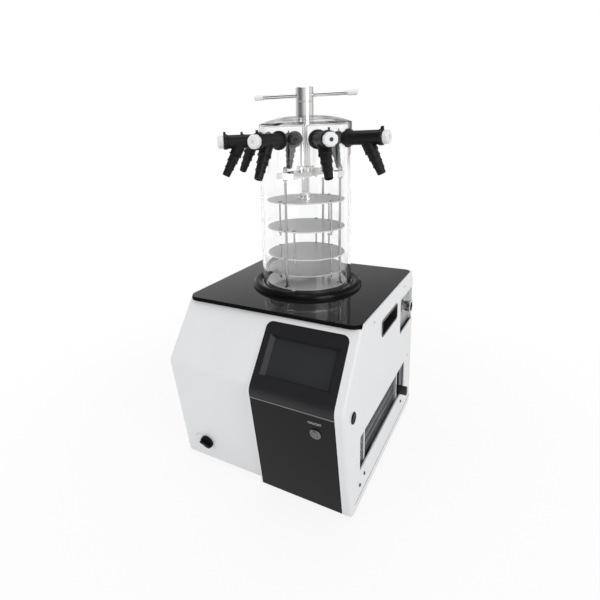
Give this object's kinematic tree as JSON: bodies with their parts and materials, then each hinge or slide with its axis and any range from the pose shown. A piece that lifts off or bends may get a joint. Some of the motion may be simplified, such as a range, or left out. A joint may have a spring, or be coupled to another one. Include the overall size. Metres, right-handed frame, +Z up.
{
  "type": "freeze dryer",
  "caption": "Benchtop freeze dryer with a clear stoppering chamber, eight manifold valves, a screw press, four trays and a touch screen.",
  "frame": {"origin": "centre of the whole machine's footprint, on the surface that it stands on", "axes": "+X to the operator's right, -Y towards the operator at the front, +Z up"},
  "size_m": [0.4764, 0.5724, 0.9363],
  "materials": {
    "white_coat": "fine powder coat",
    "black_glass": "polished",
    "fascia_black": "satin film",
    "screen_glass": "polished",
    "grey_trim": "satin",
    "polished_steel": "polished",
    "brushed_steel": "fine brushed",
    "zinc_sheet": "galvanised",
    "black_rubber": "satin",
    "black_plastic": "fine grain",
    "clear_acrylic": "clear",
    "clear_silicone": "translucent",
    "white_plastic": "satin",
    "fin_aluminium": "mill",
    "black_paint": "gloss",
    "foam": "cellular",
    "copper": "drawn",
    "clear_hose": "translucent"
  },
  "bodies": {
    "cabinet": {"base_pan": "zinc_sheet", "feet": "black_rubber", "left_shell": "white_coat", "right_shell": "white_coat", "rear_panel": "white_coat", "top_plate": "black_glass", "case_screws": "polished_steel", "upper_fascia": "fascia_black", "lower_fascia": "fascia_black", "trim_strip": "grey_trim", "touch_screen": "screen_glass", "button_bezel": "polished_steel", "drain_valve": "brushed_steel", "drain_hose": "clear_hose", "side_socket": "black_plastic", "grip_cups": "black_plastic", "port_recess": "grey_trim", "vacuum_port": "polished_steel", "mains_inlet": "black_plastic", "condenser": "fin_aluminium", "fan_motor": "black_paint", "compressor": "black_paint", "refrigerant_pipes": "copper", "cold_trap": "polished_steel", "trap_insulation": "foam", "seal_ring": "black_rubber", "chamber_gasket": "clear_silicone", "trap_cover": "polished_steel", "chamber_tube": "clear_acrylic", "chamber_lid": "clear_acrylic", "valve_bodies": "black_rubber", "gland": "brushed_steel", "gland_nut": "brushed_steel", "bridge": "brushed_steel", "shelf_4": "brushed_steel", "lower_pins": "brushed_steel", "tie_rods": "brushed_steel", "dome_nuts": "brushed_steel"},
    "drain": {"drain_knob": "black_plastic"},
    "button": {"power_button": "brushed_steel"},
    "fan": {"fan_blades": "black_plastic"},
    "handle": {"handle_hub": "brushed_steel", "tee_bar": "brushed_steel", "bar_caps": "white_plastic", "press_shaft": "brushed_steel"},
    "press": {"press_coupling": "brushed_steel", "press_plate": "brushed_steel"},
    "screw": {"press_screw": "brushed_steel"},
    "upper_shelf": {"shelf_2": "brushed_steel", "upper_pins": "brushed_steel"},
    "lower_shelf": {"shelf_3": "brushed_steel", "middle_pins": "brushed_steel"},
    "knob_1": {"valve_knob_1": "white_plastic"},
    "knob_2": {"valve_knob_2": "white_plastic"},
    "knob_3": {"valve_knob_3": "white_plastic"},
    "knob_4": {"valve_knob_4": "white_plastic"},
    "knob_5": {"valve_knob_5": "white_plastic"},
    "knob_6": {"valve_knob_6": "white_plastic"},
    "knob_7": {"valve_knob_7": "white_plastic"},
    "knob_8": {"valve_knob_8": "white_plastic"}
  },
  "joints": [
    {"name": "knob_1_turn", "type": "hinge", "parent": "cabinet", "child": "knob_1", "pos_m": [-0.02944, -0.16699, 0.81], "axis": [-0.1045, -0.9945, 0], "range_deg": [0, 180]},
    {"name": "knob_2_turn", "type": "hinge", "parent": "cabinet", "child": "knob_2", "pos_m": [0.1232, -0.12178, 0.81], "axis": [0.6293, -0.7771, 0], "range_deg": [0, 180]},
    {"name": "knob_3_turn", "type": "hinge", "parent": "cabinet", "child": "knob_3", "pos_m": [0.19916, 0.01813, 0.81], "axis": [0.9945, -0.1045, 0], "range_deg": [0, 180]},
    {"name": "knob_4_turn", "type": "hinge", "parent": "cabinet", "child": "knob_4", "pos_m": [0.15395, 0.17077, 0.81], "axis": [0.7771, 0.6293, 0], "range_deg": [0, 180]},
    {"name": "knob_5_turn", "type": "hinge", "parent": "cabinet", "child": "knob_5", "pos_m": [0.01404, 0.24673, 0.81], "axis": [0.1045, 0.9945, 0], "range_deg": [0, 180]},
    {"name": "knob_6_turn", "type": "hinge", "parent": "cabinet", "child": "knob_6", "pos_m": [-0.1386, 0.20152, 0.81], "axis": [-0.6293, 0.7771, 0], "range_deg": [0, 180]},
    {"name": "knob_7_turn", "type": "hinge", "parent": "cabinet", "child": "knob_7", "pos_m": [-0.21456, 0.06161, 0.81], "axis": [-0.9945, 0.1045, 0], "range_deg": [0, 180]},
    {"name": "knob_8_turn", "type": "hinge", "parent": "cabinet", "child": "knob_8", "pos_m": [-0.16935, -0.09103, 0.81], "axis": [-0.7771, -0.6293, 0], "range_deg": [0, 180]},
    {"name": "drain_turn", "type": "hinge", "parent": "cabinet", "child": "drain", "pos_m": [-0.1636, -0.23205, 0.065], "axis": [0, -0.9819, -0.1894], "range_deg": [0, 90]},
    {"name": "button_press", "type": "slide", "parent": "cabinet", "child": "button", "axis": [0, 0.9834, 0.1814], "range_m": [0, 0.0025], "stiffness_N_per_m": 800, "springref_m": -0.001},
    {"name": "fan_spin", "type": "hinge", "parent": "cabinet", "child": "fan", "pos_m": [0.1663, -0.00083, 0.112], "axis": [1, 0, 0], "continuous": true},
    {"name": "handle_turn", "type": "hinge", "parent": "cabinet", "child": "handle", "pos_m": [-0.0077, 0.03987, 0.92], "axis": [0, 0, -1], "range_deg": [0, 1440]},
    {"name": "press_travel", "type": "slide", "parent": "cabinet", "child": "press", "axis": [0, 0, -1], "range_m": [0, 0.0322]},
    {"name": "screw_turn", "type": "hinge", "parent": "press", "child": "screw", "pos_m": [-0.0077, 0.03987, 0.92], "axis": [0, 0, -1], "range_deg": [0, 1445]},
    {"name": "upper_shelf_travel", "type": "slide", "parent": "cabinet", "child": "upper_shelf", "axis": [0, 0, -1], "range_m": [0, 0.0216]},
    {"name": "lower_shelf_travel", "type": "slide", "parent": "cabinet", "child": "lower_shelf", "axis": [0, 0, -1], "range_m": [0, 0.0109]}
  ],
  "couplings": [
    {"joint": "press_travel", "follows": "handle_turn", "m_per_rad": 0.0012732},
    {"joint": "screw_turn", "follows": "handle_turn", "ratio": 1},
    {"joint": "upper_shelf_travel", "follows": "handle_turn", "m_per_rad": 0.00084883},
    {"joint": "lower_shelf_travel", "follows": "handle_turn", "m_per_rad": 0.00042441}
  ]
}
